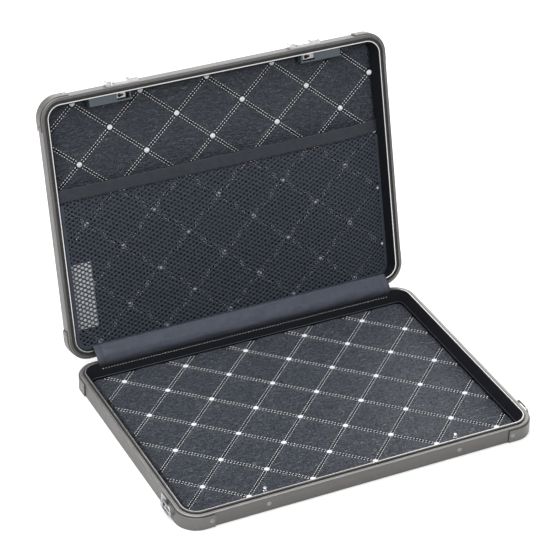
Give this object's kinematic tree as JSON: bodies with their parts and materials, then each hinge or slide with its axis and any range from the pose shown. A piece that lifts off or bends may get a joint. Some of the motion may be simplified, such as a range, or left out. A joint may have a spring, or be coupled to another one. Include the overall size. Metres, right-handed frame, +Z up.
{
  "type": "laptop hard case",
  "caption": "Slim hard attache case for a laptop, standing open: aluminium rails, padded leatherette linings, net pocket in the lid, sliding catches and side rings.",
  "frame": {"origin": "centre of the underside of the base, on the surface the case stands on", "axes": "+Z up, -Y towards the front rail of the base, +Y towards the hinge, +X to the right; the lid stands open at rest"},
  "size_m": [0.402, 0.3714, 0.2942],
  "materials": {
    "rail_aluminium": "satin",
    "guard_metal": "brushed",
    "chrome_parts": "polished",
    "steel_parts": "satin",
    "outer_skin": "grained",
    "inner_board": "matte",
    "quilted_leatherette": "pebbled, satin",
    "lining_cloth": "matte",
    "hinge_cloth": "satin",
    "net_cloth": "matte",
    "white_thread": "satin",
    "blank_card": "matte",
    "catch_cover": "satin",
    "seal_rubber": "matte"
  },
  "bodies": {
    "base": {"base_frame": "rail_aluminium", "base_panel": "outer_skin", "base_board": "inner_board", "base_liner": "lining_cloth", "base_pad": "quilted_leatherette", "base_tufts": "white_thread", "base_guard_front_left": "guard_metal", "base_guard_front_right": "guard_metal", "base_guard_rear_left": "guard_metal", "base_guard_rear_right": "guard_metal", "base_guard_rivets": "chrome_parts", "keeper_bracket_left": "steel_parts", "keeper_bracket_right": "steel_parts", "keeper_studs": "chrome_parts", "keeper_rivets": "chrome_parts", "base_hinge_leaf": "steel_parts", "base_hinge_rivets": "chrome_parts", "hinge_pin": "steel_parts", "hinge_cover": "hinge_cloth", "ring_bracket_left": "steel_parts", "ring_bracket_right": "steel_parts", "ring_rivets": "chrome_parts"},
    "lid": {"lid_frame": "rail_aluminium", "lid_gasket": "seal_rubber", "lid_panel": "outer_skin", "lid_board": "inner_board", "lid_liner": "lining_cloth", "lid_pad": "quilted_leatherette", "lid_tufts": "white_thread", "lid_guard_front_left": "guard_metal", "lid_guard_front_right": "guard_metal", "lid_guard_rear_left": "guard_metal", "lid_guard_rear_right": "guard_metal", "lid_guard_rivets": "chrome_parts", "lid_hinge_leaf": "steel_parts", "lid_hinge_rivets": "chrome_parts", "pocket_net": "net_cloth", "pocket_band": "net_cloth", "pocket_label": "blank_card", "latch_housing_left": "chrome_parts", "latch_housing_right": "chrome_parts", "latch_guide_left": "steel_parts", "latch_guide_right": "steel_parts", "latch_pins": "steel_parts", "latch_cover_left": "catch_cover", "latch_cover_right": "catch_cover", "latch_spring_left": "steel_parts", "latch_spring_right": "steel_parts"},
    "left_latch_slide": {"latch_thumb_left": "chrome_parts", "latch_slide_left": "chrome_parts"},
    "right_latch_slide": {"latch_thumb_right": "chrome_parts", "latch_slide_right": "chrome_parts"},
    "left_ring": {"ring_left": "chrome_parts"},
    "right_ring": {"ring_right": "chrome_parts"}
  },
  "joints": [
    {"name": "lid_hinge", "type": "hinge", "parent": "base", "child": "lid", "pos_m": [0, 0.1425, 0.01665], "axis": [1, 0, 0], "range_deg": [0, 105], "deforming": ["hinge_cover"]},
    {"name": "left_catch_slide", "type": "slide", "parent": "lid", "child": "left_latch_slide", "axis": [1, 0, 0], "range_m": [0, 0.0032], "stiffness_N_per_m": 300, "springref_m": -0.003, "deforming": ["latch_spring_left"]},
    {"name": "right_catch_slide", "type": "slide", "parent": "lid", "child": "right_latch_slide", "axis": [1, 0, 0], "range_m": [0, 0.0032], "stiffness_N_per_m": 300, "springref_m": -0.003, "deforming": ["latch_spring_right"]},
    {"name": "left_ring_swing", "type": "hinge", "parent": "base", "child": "left_ring", "pos_m": [-0.199, -0.097, 0.009], "axis": [0, 0, -1], "range_deg": [-4, 150]},
    {"name": "right_ring_swing", "type": "hinge", "parent": "base", "child": "right_ring", "pos_m": [0.199, -0.097, 0.009], "axis": [0, 0, 1], "range_deg": [-4, 150]}
  ]
}
